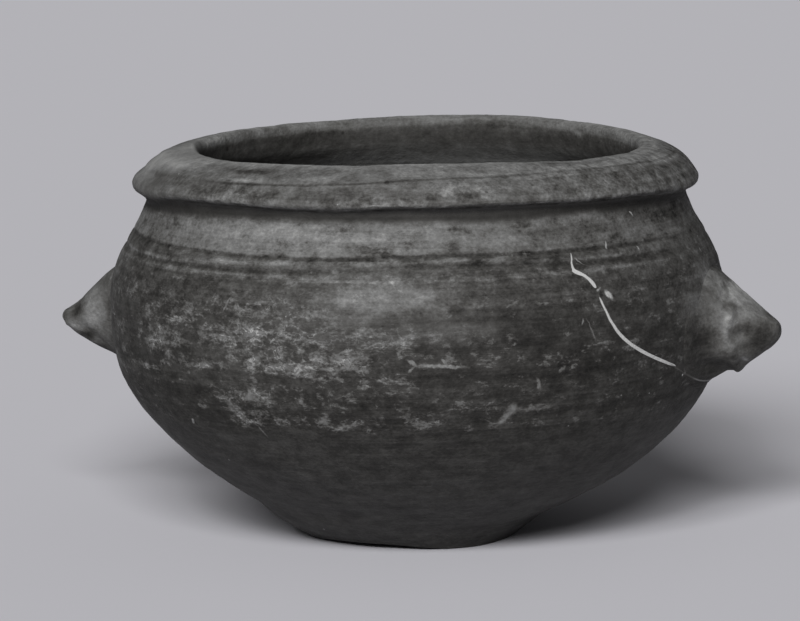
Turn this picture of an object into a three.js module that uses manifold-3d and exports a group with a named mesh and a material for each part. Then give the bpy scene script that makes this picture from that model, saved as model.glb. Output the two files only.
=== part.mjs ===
// A lug-handled clay pot: a wide bowl on a narrow base, a shoulder with incised lines, a heavy out-turned rim and
// two pointed lugs. Millimetres, +Z up. The origin is on the turning axis, at the underside of the base.
import * as THREE from 'three';
import { mergeVertices } from 'three/addons/utils/BufferGeometryUtils.js';
import Module from 'manifold-3d';

// Base
const baseRadius = 39.6;
const baseFlare = 1.46; // outward run of the wall for each millimetre of rise, where it leaves the base
const floorThickness = 9;
const baseOffset = 4.5; // the base sits this far off the turning axis, towards the left lug
const baseOffsetHeight = 24; // the wall is back on the axis at this height

// Wall
const bellyRadius = 119.2;
const bellyHeight = 93.5;
const bowlEase = 32.5; // length of the straight run above the base
const bellyEaseBelow = 51; // upright run below the widest line
const bellyEaseAbove = 19; // upright run above the widest line
const neckRadius = 104.6;
const neckHeight = 132.8;
const neckSlope = 0.5; // inward run for each millimetre of rise, at the neck
const neckEase = 12;
const wallThickness = 7;
const shoulderDepth = 18.2; // the shoulder ring reaches this far down from the neck

// Incised lines round the shoulder, measured up from the joint under it
const lowerGrooveRise = 2.6;
const upperGrooveRise = 7.8;
const grooveWidth = 2.2;
const grooveDepth = 0.8;

// Rim
const rimRise = 20.7; // crest above the neck
const rimOverhang = 5.4; // widest edge beyond the neck
const rimEdgeRise = 5.8; // widest edge above the neck
const rimEdgeRounding = 2.2;
const rimBreakInset = 7.8; // the top face turns down this far inside the widest edge
const rimBreakDrop = 4.6; // and this far below the crest
const rimWidth = 24; // from the widest edge to the innermost edge of the lip
const crestInset = 4.5; // crest outside the lip's innermost edge
const lipDrop = 3.7; // innermost edge of the lip below the crest
const lipFaceDepth = 6.8; // upright inner face of the lip

// Lugs
const lugBelowBelly = 9; // centre line of a lug below the widest line
const lugDroop = 2.2; // the tip lies this far below the root's centre line
const lugRise = 19.8; // top of the root above the centre line
const lugDrop = 18; // underside of the root below the centre line
const lugHalfWidth = 17;
const lugTopShelf = 2.2; // the top starts to taper this far out from the widest line
const lugUnderShelf = 5.8; // and the underside this far out
const lugTipRadius = 6.4; // half height of the blunt tip
const lugTipDepth = 4.8; // the tip rounds off over this length
const rightLugStandOut = 24; // tip beyond the widest line
const leftLugStandOut = 26.8;
const lugGap = 0.3; // clearance between a lug and the wall that carries it

// Fineness of the faceting
const turnSegments = 64;
const wallStep = 8; // height between rings of the wall
const rimCurveSteps = 3; // steps along each rounded stretch of the rim's section
const curveSamples = 160;
const lugSides = 20;
const lugCapSteps = 4;
const lugRootDepth = 26; // how far a lug's rough shape runs into the wall before it is cut

// Colours of the fired clay
const bodyClay = { color: 0x3a3833, roughness: 0.82 };
const shoulderClay = { color: 0x57544e, roughness: 0.8 };
const rimClay = { color: 0x5c5952, roughness: 0.82 };
const baseClay = { color: 0x2e2c29, roughness: 0.86 };
const lugClay = { color: 0x66625a, roughness: 0.85 };

// Places that follow from the sizes above
const shoulderJointHeight = neckHeight - shoulderDepth;
const grooveHeights = [shoulderJointHeight + lowerGrooveRise, shoulderJointHeight + upperGrooveRise];
const rimHeight = neckHeight + rimRise;
const rimOuterRadius = neckRadius + rimOverhang;
const rimOuterHeight = neckHeight + rimEdgeRise;
const rimBreakRadius = rimOuterRadius - rimBreakInset;
const rimBreakHeight = rimHeight - rimBreakDrop;
const mouthRadius = rimOuterRadius - rimWidth;
const lipHeight = rimHeight - lipDrop;
const lipUndersideHeight = lipHeight - lipFaceDepth;
const lugHeight = bellyHeight - lugBelowBelly;

const wasm = await Module();
wasm.setup();

const v2 = (r, z) => new THREE.Vector2(r, z);

// Outside of the wall: one curve from the base to the widest line and one from there to the neck.
const bowlCurve = new THREE.CubicBezierCurve(
  v2(baseRadius, 0),
  v2(baseRadius + bowlEase * baseFlare, bowlEase),
  v2(bellyRadius, bellyHeight - bellyEaseBelow),
  v2(bellyRadius, bellyHeight),
);
const shoulderCurve = new THREE.CubicBezierCurve(
  v2(bellyRadius, bellyHeight),
  v2(bellyRadius, bellyHeight + bellyEaseAbove),
  v2(neckRadius + neckEase * neckSlope, neckHeight - neckEase),
  v2(neckRadius, neckHeight),
);
const wallCurve = [...bowlCurve.getPoints(curveSamples), ...shoulderCurve.getPoints(curveSamples).slice(1)];

// The stretch of the wall's curve that holds a height
function stretchAt(z) {
  let i = 1;
  while (i < wallCurve.length - 1 && wallCurve[i].y < z) i += 1;
  return [wallCurve[i - 1], wallCurve[i]];
}

function outerRadius(z) {
  const [a, b] = stretchAt(z);
  return THREE.MathUtils.mapLinear(z, a.y, b.y, a.x, b.x);
}

function innerRadius(z) {
  const [a, b] = stretchAt(z);
  const slope = (b.x - a.x) / (b.y - a.y);
  return outerRadius(z) - wallThickness * Math.hypot(1, slope);
}

// Heights of the wall's rings between two levels, evenly spaced, both ends included
function levels(from, to) {
  const count = Math.max(1, Math.ceil((to - from) / wallStep));
  return Array.from({ length: count + 1 }, (_, i) => THREE.MathUtils.lerp(from, to, i / count));
}

// Sideways offset of the pot's middle at a height: the base was set down off centre.
function sideOffset(z) {
  return -baseOffset * (1 - THREE.MathUtils.smoothstep(z, 0, baseOffsetHeight));
}

// Turns a profile of (radius, height) points about the upright axis and leans it with the base.
function turned(profile) {
  const geometry = new THREE.LatheGeometry(profile, turnSegments).rotateX(Math.PI / 2);
  const position = geometry.attributes.position;
  for (let i = 0; i < position.count; i += 1) {
    position.setX(i, position.getX(i) + sideOffset(position.getZ(i)));
  }
  return geometry;
}

function floorDisc() {
  const side = levels(0, floorThickness).map((z) => v2(outerRadius(z), z));
  return turned([v2(0, 0), ...side, v2(0, floorThickness)]);
}

// A ring of wall between two levels, with V-shaped grooves cut round its outside
function wallRing(from, to, grooves = []) {
  const plain = levels(from, to)
    .filter((z) => grooves.every((g) => Math.abs(z - g) > grooveWidth))
    .map((z) => v2(outerRadius(z), z));
  const cuts = grooves.flatMap((g) => [
    v2(outerRadius(g - grooveWidth / 2), g - grooveWidth / 2),
    v2(outerRadius(g) - grooveDepth, g),
    v2(outerRadius(g + grooveWidth / 2), g + grooveWidth / 2),
  ]);
  const outside = [...plain, ...cuts].sort((a, b) => a.y - b.y);
  const inside = levels(from, to).reverse().map((z) => v2(innerRadius(z), z));
  return turned([...outside, ...inside, outside[0].clone()]);
}

function rimCollar() {
  const section = new THREE.Path();
  section.moveTo(neckRadius, neckHeight);
  section.lineTo(rimOuterRadius - rimEdgeRounding / 2, rimOuterHeight - rimEdgeRounding);
  section.quadraticCurveTo(
    rimOuterRadius + rimEdgeRounding / 4, rimOuterHeight,
    rimOuterRadius - rimEdgeRounding / 2, rimOuterHeight + rimEdgeRounding,
  );
  section.quadraticCurveTo(
    THREE.MathUtils.lerp(rimOuterRadius, rimBreakRadius, 0.4), THREE.MathUtils.lerp(rimOuterHeight, rimBreakHeight, 0.75),
    rimBreakRadius, rimBreakHeight,
  );
  section.lineTo(mouthRadius + crestInset, rimHeight);
  section.quadraticCurveTo(mouthRadius, rimHeight, mouthRadius, lipHeight);
  section.lineTo(mouthRadius, lipUndersideHeight);
  section.quadraticCurveTo(
    THREE.MathUtils.lerp(mouthRadius, innerRadius(neckHeight), 0.35),
    THREE.MathUtils.lerp(lipUndersideHeight, neckHeight, 0.6),
    innerRadius(neckHeight), neckHeight,
  );
  const points = section.getPoints(rimCurveSteps);
  return turned([...points, points[0].clone()]);
}

// One cross-section of a lug: two half ovals that share their width, at a distance along X from the axis
function lugSection(x, centre, rise, drop, halfWidth) {
  return Array.from({ length: lugSides }, (_, i) => {
    const angle = (i / lugSides) * 2 * Math.PI;
    const up = Math.sin(angle);
    return new THREE.Vector3(x, halfWidth * Math.cos(angle), centre + (up > 0 ? rise : drop) * up);
  });
}

// Skins a row of equal cross-sections and closes both ends, with outward faces when the row runs along +X.
function loft(sections) {
  const middles = [sections[0], sections.at(-1)].map((section) => {
    const sum = section.reduce((total, p) => total.add(p), new THREE.Vector3());
    return sum.divideScalar(section.length);
  });
  const points = [...sections.flat(), ...middles];
  const startMiddle = points.length - 2;
  const endMiddle = points.length - 1;
  const lastRow = (sections.length - 1) * lugSides;
  const index = [];
  for (let i = 0; i < lugSides; i += 1) {
    const next = (i + 1) % lugSides;
    for (let row = 0; row < lastRow; row += lugSides) {
      index.push(row + i, row + next, row + lugSides + i);
      index.push(row + next, row + lugSides + next, row + lugSides + i);
    }
    index.push(startMiddle, next, i);
    index.push(endMiddle, lastRow + i, lastRow + next);
  }
  const geometry = new THREE.BufferGeometry().setFromPoints(points);
  geometry.setIndex(index);
  return geometry;
}

// A lug before it is cut to the wall: full depth at the root, tapering to a round blunt tip. side is 1 for +X.
function roughLug(standOut, side) {
  const topStart = bellyRadius + lugTopShelf;
  const underStart = bellyRadius + lugUnderShelf;
  const capStart = bellyRadius + standOut - lugTipDepth;
  const taper = (x, start, full) => {
    return x <= start ? full : THREE.MathUtils.mapLinear(x, start, capStart, full, lugTipRadius);
  };
  const centreAt = (x) => lugHeight - lugDroop * THREE.MathUtils.smoothstep(x, topStart, capStart);
  const stations = [topStart - lugRootDepth, topStart, underStart, (underStart + capStart) / 2, capStart];
  const body = stations.map((x) => {
    const halfWidth = taper(x, topStart, lugHalfWidth);
    return lugSection(x, centreAt(x), taper(x, topStart, lugRise), taper(x, underStart, lugDrop), halfWidth);
  });
  const cap = Array.from({ length: lugCapSteps }, (_, i) => {
    const turn = ((i + 1) / (lugCapSteps + 0.5)) * (Math.PI / 2);
    const radius = lugTipRadius * Math.cos(turn);
    return lugSection(capStart + lugTipDepth * Math.sin(turn), centreAt(capStart), radius, radius, radius);
  });
  const geometry = loft([...body, ...cap]);
  return side > 0 ? geometry : geometry.rotateZ(Math.PI);
}

function solidOf(geometry) {
  const plain = geometry.clone();
  plain.deleteAttribute('normal');
  plain.deleteAttribute('uv');
  const merged = mergeVertices(plain, 1e-3);
  return new wasm.Manifold(new wasm.Mesh({
    numProp: 3,
    vertProperties: new Float32Array(merged.attributes.position.array),
    triVerts: new Uint32Array(merged.index.array),
  }));
}

function geometryOf(solid) {
  const mesh = solid.getMesh();
  const geometry = new THREE.BufferGeometry();
  geometry.setAttribute('position', new THREE.BufferAttribute(mesh.vertProperties, 3));
  geometry.setIndex(new THREE.BufferAttribute(mesh.triVerts, 1));
  return geometry;
}

// The space that the pot's wall fills, solid to the middle and larger all round by the lugs' clearance
function wallSpace() {
  const outside = levels(floorThickness, shoulderJointHeight).map((z) => v2(outerRadius(z) + lugGap, z));
  return turned([v2(0, floorThickness), ...outside, v2(0, shoulderJointHeight)]);
}

const pot = new THREE.Group();

function add(name, geometry, clay) {
  const mesh = new THREE.Mesh(geometry, new THREE.MeshStandardMaterial({ ...clay, metalness: 0 }));
  mesh.name = name;
  pot.add(mesh);
}

add('floor_disc', floorDisc(), baseClay);
add('lower_wall', wallRing(floorThickness, shoulderJointHeight), bodyClay);
add('shoulder_wall', wallRing(shoulderJointHeight, neckHeight, grooveHeights), shoulderClay);
add('rim_collar', rimCollar(), rimClay);

const cutter = solidOf(wallSpace());
const cutLug = (standOut, side) => geometryOf(solidOf(roughLug(standOut, side)).subtract(cutter));
add('lug_right', cutLug(rightLugStandOut, 1), lugClay);
add('lug_left', cutLug(leftLugStandOut, -1), lugClay);

export default pot;
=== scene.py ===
import math

import bmesh
import bpy
import numpy as np
from mathutils import Matrix, Vector, noise


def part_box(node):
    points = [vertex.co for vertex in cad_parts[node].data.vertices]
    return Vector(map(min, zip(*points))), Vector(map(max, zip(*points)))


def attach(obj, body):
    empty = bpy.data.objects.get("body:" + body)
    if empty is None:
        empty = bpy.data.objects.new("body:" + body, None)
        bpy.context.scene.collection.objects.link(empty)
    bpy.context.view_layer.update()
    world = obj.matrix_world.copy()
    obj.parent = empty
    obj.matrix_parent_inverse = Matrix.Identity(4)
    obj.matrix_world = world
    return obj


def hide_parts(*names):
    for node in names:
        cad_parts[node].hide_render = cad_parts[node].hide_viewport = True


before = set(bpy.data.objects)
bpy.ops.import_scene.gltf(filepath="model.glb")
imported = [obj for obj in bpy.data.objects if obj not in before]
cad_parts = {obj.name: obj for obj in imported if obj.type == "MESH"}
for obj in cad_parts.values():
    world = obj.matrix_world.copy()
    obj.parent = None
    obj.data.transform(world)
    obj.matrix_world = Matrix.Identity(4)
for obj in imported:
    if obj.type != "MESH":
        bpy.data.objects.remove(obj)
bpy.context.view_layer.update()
print("frame loaded:", ", ".join(sorted(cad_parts)))

mm = 0.001


def addObject(name, data):
    made = bpy.data.objects.new(name, data)
    bpy.context.scene.collection.objects.link(made)
    return made


# A smooth curve through (place, value) points that never swings past them, as a function of an array
def smoothThrough(points):
    at, value = np.array(points, float).T
    gap = np.diff(at)
    slope = np.diff(value) / gap
    lean = np.concatenate([[slope[0]], np.zeros(len(slope) - 1), [slope[-1]]])
    for i in range(1, len(slope)):
        if slope[i - 1] * slope[i] > 0:
            lean[i] = 2 * slope[i - 1] * slope[i] / (slope[i - 1] + slope[i])

    def curve(x):
        x = np.asarray(x, float)
        i = np.clip(np.searchsorted(at, x) - 1, 0, len(gap) - 1)
        t = np.clip((x - at[i]) / gap[i], 0, 1)
        rise = value[i] + (3 - 2 * t) * t * t * (value[i + 1] - value[i])
        return rise + gap[i] * t * (1 - t) * (lean[i] * (1 - t) - lean[i + 1] * t)

    return curve


# The same from two columns, read at x
def smoothAt(x, places, values):
    return smoothThrough(np.column_stack([places, values]))(x)


def smoothStep(low, high, x):
    t = np.clip((np.asarray(x, float) - low) / (high - low), 0, 1)
    return t * t * (3 - 2 * t)


# 1 between the middle two of four limits, 0 beyond the outer two
def between(x, limits):
    return smoothStep(limits[0], limits[1], x) * (1 - smoothStep(limits[2], limits[3], x))


# One socket of a node tree. Arithmetic on it adds Math nodes, or Vector Math nodes where it is a vector.
class Wire:
    def __init__(self, tree, socket=None):
        self.tree = tree
        self.socket = socket

    def node(self, kind, settings=None, sockets=None, output=0):
        made = self.tree.nodes.new(kind)
        for name, value in (settings or {}).items():
            if name == "stops":
                self.layStops(made.color_ramp, value)
            elif name == "curve":
                self.layCurve(made.mapping, value)
            else:
                setattr(made, name, value)
        for name, value in (sockets or {}).items():
            if isinstance(value, Wire):
                self.tree.links.new(value.socket, made.inputs[name])
            else:
                made.inputs[name].default_value = value
        return Wire(self.tree, made.outputs[output])

    def layStops(self, ramp, stops):
        while len(ramp.elements) < len(stops):
            ramp.elements.new(1.0)
        for element, (place, colour) in zip(ramp.elements, stops):
            element.position = place
            element.color = (*colour, 1.0)

    def layCurve(self, mapping, points):
        line = mapping.curves[0]
        while len(line.points) < len(points):
            line.points.new(1.0, 1.0)
        for dot, (place, value) in zip(line.points, points):
            dot.location = (place, value)
        mapping.update()

    def work(self, operation, first, second):
        both = (first, second)
        if any(isinstance(side, Wire) and side.socket.type in ("VECTOR", "RGBA") for side in both):
            spread = [(side,) * 3 if isinstance(side, (int, float)) else side for side in both]
            return self.node("ShaderNodeVectorMath", {"operation": operation}, dict(enumerate(spread)))
        return self.node("ShaderNodeMath", {"operation": operation}, dict(enumerate(both)))

    def __add__(self, other):
        return self.work("ADD", self, other)

    def __radd__(self, other):
        return self.work("ADD", other, self)

    def __sub__(self, other):
        return self.work("SUBTRACT", self, other)

    def __rsub__(self, other):
        return self.work("SUBTRACT", other, self)

    def __mul__(self, other):
        return self.work("MULTIPLY", self, other)

    def __rmul__(self, other):
        return self.work("MULTIPLY", other, self)

    def __truediv__(self, other):
        return self.work("DIVIDE", self, other)

    def __rtruediv__(self, other):
        return self.work("DIVIDE", other, self)

    def least(self, other):
        return self.work("MINIMUM", self, other)

    def most(self, other):
        return self.work("MAXIMUM", self, other)

    def size(self):
        return self.node("ShaderNodeMath", {"operation": "ABSOLUTE"}, {0: self})

    # 0 at low, 1 at high, eased between
    def ease(self, low, high):
        return self.node("ShaderNodeMapRange", {"interpolation_type": "SMOOTHSTEP"},
                         {"Value": self, "From Min": low, "From Max": high})

    # Another output of the node that this one comes from
    def other(self, name):
        return Wire(self.tree, self.socket.node.outputs[name])

    def part(self, name):
        return self.node("ShaderNodeSeparateXYZ", {}, {0: self}, name)

    def vector(self, **parts):
        return self.node("ShaderNodeCombineXYZ", {}, parts)

    def reach(self):
        return self.node("ShaderNodeVectorMath", {"operation": "LENGTH"}, {0: self}, "Value")

    # Turned about the upright axis, by radians
    def spun(self, angle):
        return self.node("ShaderNodeVectorRotate", {"rotation_type": "Z_AXIS"},
                         {"Vector": self, "Center": (0, 0, 0), "Angle": angle})

    # This number, going over to another one where the share is 1
    def over(self, other, share):
        return self.node("ShaderNodeMix", {"data_type": "FLOAT"}, {0: share, 2: self, 3: other})

    def curve(self, points, low=0.0, high=1.0):
        spots = [((x - low) / (high - low), y) for x, y in points]
        return self.node("ShaderNodeFloatCurve", {"curve": spots}, {"Value": (self - low) / (high - low)})

    def noise(self, scale, detail, roughness, distortion=0.0, output=0):
        return self.node("ShaderNodeTexNoise", {},
                         {"Vector": self, "Scale": scale, "Detail": detail, "Roughness": roughness,
                          "Distortion": distortion}, output)


# Camera: where the photograph was taken from, and how far its frame is turned
camera = {
    "middle": (0, 0, 80 * mm),  # the point that the distance and both angles are measured to
    "distance": 2.0,
    "azimuth": 15.0,
    "elevation": 8.2,
    "roll": 1.01,
    "aimRight": -7.2 * mm,  # the picture's centre, from the middle point
    "aimUp": 7.1 * mm,
    "lens": 231.1,
    "sensor": 36.0,
    "clip": (0.05, 50.0),
}


def setCamera():
    azimuth, elevation, roll = (math.radians(camera[k]) for k in ("azimuth", "elevation", "roll"))
    back = Vector((math.sin(azimuth) * math.cos(elevation),
                   -math.cos(azimuth) * math.cos(elevation), math.sin(elevation)))
    right = Vector((math.cos(azimuth), math.sin(azimuth), 0))
    up = back.cross(right)
    middle = Vector(camera["middle"])
    place = middle + back * camera["distance"]
    turnedRight = right * math.cos(roll) - up * math.sin(roll)
    turnedUp = up * math.cos(roll) + right * math.sin(roll)
    aim = middle + turnedRight * camera["aimRight"] + turnedUp * camera["aimUp"]
    backwards = (place - aim).normalized()
    sideways = turnedUp.cross(backwards).normalized()
    upright = backwards.cross(sideways)
    data = bpy.data.cameras.new("camera")
    data.lens = camera["lens"]
    data.sensor_width = camera["sensor"]
    data.clip_start, data.clip_end = camera["clip"]
    body = addObject("camera", data)
    facing = Matrix((sideways, upright, backwards)).transposed().to_4x4()
    body.matrix_world = Matrix.Translation(place) @ facing
    bpy.context.scene.camera = body


setCamera()
print("camera set")

# Light: a broad window in front and a little to the left, as two soft suns side by side, and an even surround
light = {
    "azimuth": {"left window": -92, "right window": -76},
    "elevation": 29,
    "spread": 17,
    "strength": 1.75,
    "surround": 0.09,
}


def addSun(name, azimuth):
    data = bpy.data.lights.new(name, "SUN")
    data.energy = light["strength"]
    data.angle = math.radians(light["spread"])
    lamp = addObject(name, data)
    a, e = math.radians(azimuth), math.radians(light["elevation"])
    source = Vector((math.cos(a) * math.cos(e), math.sin(a) * math.cos(e), math.sin(e)))
    lamp.rotation_euler = source.to_track_quat("Z", "Y").to_euler()
    lamp.location = source


def setLight():
    for name, azimuth in light["azimuth"].items():
        addSun(name, azimuth)
    world = bpy.data.worlds.new("studio")
    world.use_nodes = True
    background = world.node_tree.nodes["Background"]
    background.inputs["Color"].default_value = (1, 1, 1, 1)
    background.inputs["Strength"].default_value = light["surround"]
    bpy.context.scene.world = world
    bpy.context.scene.view_settings.view_transform = "Standard"


setLight()
print("light set")

floorSheet = {"reach": 9.0, "colour": (0.715, 0.708, 0.752), "roughness": 0.9}


def newMaterial(name):
    material = bpy.data.materials.new(name)
    material.use_nodes = True
    return material, Wire(material.node_tree), material.node_tree.nodes["Principled BSDF"]


def layFloor():
    reach = floorSheet["reach"]
    corners = [(-reach, -reach, 0), (reach, -reach, 0), (reach, reach, 0), (-reach, reach, 0)]
    mesh = bpy.data.meshes.new("paper_floor")
    mesh.from_pydata(corners, [], [(0, 1, 2, 3)])
    sheet = addObject("paper_floor", mesh)
    material, start, shader = newMaterial("floor_paper")
    shader.inputs["Base Color"].default_value = (*floorSheet["colour"], 1)
    shader.inputs["Roughness"].default_value = floorSheet["roughness"]
    shader.inputs["Specular IOR Level"].default_value = 0.0
    mesh.materials.append(material)


layFloor()
print("floor laid")

# Turned wall, in millimetres: radius by height outside, and how far the middle stands off the axis
wall = {
    "radius": [
        (0, 39.8), (4, 46.4), (10, 55.2), (17, 65.6), (25, 78.7), (35, 92), (47, 103.8), (60, 112.6),
        (72, 117), (84, 118.8), (94, 119.1), (106, 117.4), (118, 112), (126, 107.6), (132.8, 104.5),
    ],
    "middle": [(0, -3.6), (8, -4.6), (16, -1), (26, 1), (40, 1), (58, 0.2), (90, -0.6), (133, 0)],
    "thickness": 7.0,
    "segments": 480,
    "samples": 600,  # along the curve, to space the rows by
    "outsideStep": 1.25,
    "shoulderStep": 0.45,
    "insideStep": 2.6,
    "insideRelief": 0.7,
    "calmNeck": 2.5,  # the turning marks fade out over this height under the rim
}
ridges = {"height": 0.35, "spacing": 5.0, "stretch": 14.0, "lumpHeight": 0.9, "lumpSize": 38.0,
          "gritSize": 7.0, "seed": 11.0, "weld": 0.01}

outerRadius = smoothThrough(wall["radius"])
middleOffset = smoothThrough(wall["middle"])
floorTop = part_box("floor_disc")[1].z / mm
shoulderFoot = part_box("shoulder_wall")[0].z / mm
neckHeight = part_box("shoulder_wall")[1].z / mm


# Change of radius over one millimetre of height
def wallSlope(z):
    return outerRadius(z + 0.5) - outerRadius(z - 0.5)


def innerRadius(z):
    return outerRadius(z) - wall["thickness"] * np.hypot(1, wallSlope(z))


# Heights between two levels, evenly spaced along the wall's own curve
def heightsBetween(low, high, step):
    fine = np.linspace(low, high, wall["samples"])
    length = np.concatenate([[0], np.cumsum(np.hypot(np.diff(fine), np.diff(outerRadius(fine))))])
    count = int(np.ceil(length[-1] / step))
    return np.interp(np.linspace(0, length[-1], count + 1), length, fine)


# A run of profile rows: radius, height, outward radius, outward height, relief, inner, place along the
# section. Outside it climbs, inside it comes down again.
def wallRun(low, high, step, inside=False):
    z = heightsBetween(low, high, step)
    radius, face, relief = (innerRadius(z), -1, wall["insideRelief"]) if inside else (outerRadius(z), 1, 1)
    slope = wallSlope(z)
    length = np.hypot(1, slope)
    relief = relief * (1 - smoothStep(neckHeight - wall["calmNeck"], neckHeight, z))
    run = np.column_stack([radius, z, face / length, -face * slope / length, relief, 0 * z + inside, 0 * z])
    return run[::-1] if inside else run


# Straight rows between two corners, the corners themselves left out, on a face that another piece covers
def jointRun(start, end, count):
    t = np.linspace(0, 1, count + 2)[1:-1]
    rows = start + t[:, None] * (end - start)
    rows[:, 4] = 0
    return rows


def ringProfile(low, high, outsideStep):
    outside = wallRun(low, high, outsideStep)
    inside = wallRun(low, high, wall["insideStep"], True)
    top = jointRun(outside[-1], inside[0], 2)
    foot = jointRun(inside[-1], outside[0], 2)
    return np.vstack([outside, top, inside, foot, outside[:1]])


# The tree that turns a profile of points about the upright axis and roughens it as a hand-turned wall
def turningTree():
    tree = bpy.data.node_groups.new("turned clay", "GeometryNodeTree")
    inputs = {"Profile": "Geometry", "Segments": "Int", "Material": "Material"}
    for name in ("Ridge Height", "Ridge Spacing", "Ridge Stretch", "Lump Height", "Lump Size", "Grit Height",
                 "Grit Size", "Seed", "Weld"):
        inputs[name] = "Float"
    for name, kind in inputs.items():
        tree.interface.new_socket(name, in_out="INPUT", socket_type="NodeSocket" + kind)
    tree.interface.new_socket("Clay", in_out="OUTPUT", socket_type="NodeSocketGeometry")
    entry = tree.nodes.new("NodeGroupInput")
    given = {name: Wire(tree, entry.outputs[name]) for name in inputs}
    start = Wire(tree)

    profile = given["Profile"]
    rowCount = start.node("GeometryNodeAttributeDomainSize", {"component": "MESH"}, {"Geometry": profile})
    grid = start.node("GeometryNodeMeshGrid", {}, {"Size X": 1.0, "Size Y": 1.0, "Vertices Y": rowCount,
                                                   "Vertices X": given["Segments"] + 1})
    position = start.node("GeometryNodeInputPosition")
    angle = (position.part("X") + 0.5) * (2 * math.pi)
    row = (position.part("Y") + 0.5) * (rowCount - 1)
    row = start.node("ShaderNodeMath", {"operation": "ROUND"}, {0: row})

    def onRow(kind, value):
        return start.node("GeometryNodeSampleIndex", {"data_type": kind, "domain": "POINT"},
                          {"Geometry": profile, "Value": value, "Index": row})

    def rowValue(kind, name):
        named = start.node("GeometryNodeInputNamedAttribute", {"data_type": kind}, {"Name": name})
        return onRow(kind, named)

    place = onRow("FLOAT_VECTOR", position).spun(angle)
    outward = rowValue("FLOAT_VECTOR", "outward").spun(angle)
    flatter = 1 / given["Ridge Stretch"]
    flatPlace = place * start.vector(X=flatter, Y=flatter, Z=1.0)
    shift = start.vector(Z=given["Seed"])
    ridge = (flatPlace / given["Ridge Spacing"] + shift).noise(1, 2, 0.55)
    lump = (place / given["Lump Size"] + shift).noise(1, 3, 0.45)
    grit = (place / given["Grit Size"] + shift).noise(1, 3, 0.6)
    lift = (ridge - 0.5) * given["Ridge Height"] + (lump - 0.5) * given["Lump Height"]
    lift = (lift + (grit - 0.5) * given["Grit Height"]) * rowValue("FLOAT", "relief") * 2
    clay = grid
    for name in ("inner", "section"):
        clay = start.node("GeometryNodeStoreNamedAttribute", {"data_type": "FLOAT", "domain": "POINT"},
                          {"Geometry": clay, "Name": name, "Value": rowValue("FLOAT", name)})
    for kind, extra in (("SetPosition", {"Position": place + outward * lift}),
                        ("MergeByDistance", {"Distance": given["Weld"]}), ("SetShadeSmooth", {}),
                        ("RealizeInstances", {}), ("SetMaterial", {"Material": given["Material"]})):
        clay = start.node("GeometryNode" + kind, {}, {"Geometry": clay, **extra})
    leave = tree.nodes.new("NodeGroupOutput")
    tree.links.new(clay.socket, leave.inputs["Clay"])
    return tree


# Turns a profile into a plain closed mesh, its place in its points
def turn(name, profile, tree, material, strength=1.0, grit=0.0):
    line = bpy.data.meshes.new(name + "_profile")
    line.from_pydata([(r * mm, 0, z * mm) for r, z in profile[:, :2]],
                     [(i, i + 1) for i in range(len(profile) - 1)], [])
    outward = np.column_stack([profile[:, 2], 0 * profile[:, 2], profile[:, 3]])
    line.attributes.new("outward", "FLOAT_VECTOR", "POINT").data.foreach_set("vector", outward.ravel())
    for label, column in (("relief", 4), ("inner", 5), ("section", 6)):
        line.attributes.new(label, "FLOAT", "POINT").data.foreach_set("value", profile[:, column].copy())
    source = addObject(name + "_profile", line)
    modifier = source.modifiers.new("turned clay", "NODES")
    modifier.node_group = tree
    inputs = {
        "Segments": wall["segments"],
        "Ridge Height": ridges["height"] * mm * strength,
        "Ridge Spacing": ridges["spacing"] * mm,
        "Ridge Stretch": ridges["stretch"],
        "Lump Height": ridges["lumpHeight"] * mm * strength,
        "Lump Size": ridges["lumpSize"] * mm,
        "Grit Height": grit * mm,
        "Grit Size": ridges["gritSize"] * mm,
        "Seed": ridges["seed"],
        "Weld": ridges["weld"] * mm,
        "Material": material,
    }
    for item in tree.interface.items_tree:
        if item.in_out == "INPUT" and item.name in inputs:
            modifier[item.identifier] = inputs[item.name]
    bpy.context.view_layer.update()
    seen = source.evaluated_get(bpy.context.evaluated_depsgraph_get())
    mesh = bpy.data.meshes.new_from_object(seen)
    mesh.name = name
    source.modifiers.remove(modifier)
    bpy.data.objects.remove(source)
    bpy.data.meshes.remove(line)
    return addObject(name, mesh)


def pointsOf(mesh):
    points = np.zeros(len(mesh.vertices) * 3, np.float32)
    mesh.vertices.foreach_get("co", points)
    return points.reshape(-1, 3).astype(float)


def movePoints(mesh, points):
    mesh.vertices.foreach_set("co", points.astype(np.float32).ravel())
    mesh.update()


def shareOf(mesh, name):
    share = np.zeros(len(mesh.vertices), np.float32)
    mesh.attributes[name].data.foreach_get("value", share)
    return share.astype(float)


def finishMesh(mesh, sharpAngle=38):
    shape = bmesh.new()
    shape.from_mesh(mesh)
    bmesh.ops.recalc_face_normals(shape, faces=shape.faces)
    shape.to_mesh(mesh)
    shape.free()
    mesh.polygons.foreach_set("use_smooth", [True] * len(mesh.polygons))
    mesh.set_sharp_from_angle(angle=math.radians(sharpAngle))
    mesh.update()


def azimuthOf(points):
    return np.degrees(np.arctan2(points[:, 1], points[:, 0]))


def radiusOf(points):
    return np.hypot(points[:, 0], points[:, 1]) / mm


# How far round, in degrees, from one azimuth to another, without the jump at the back
def turnFrom(azimuth, start):
    return (azimuth - start + 180) % 360 - 180


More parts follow.
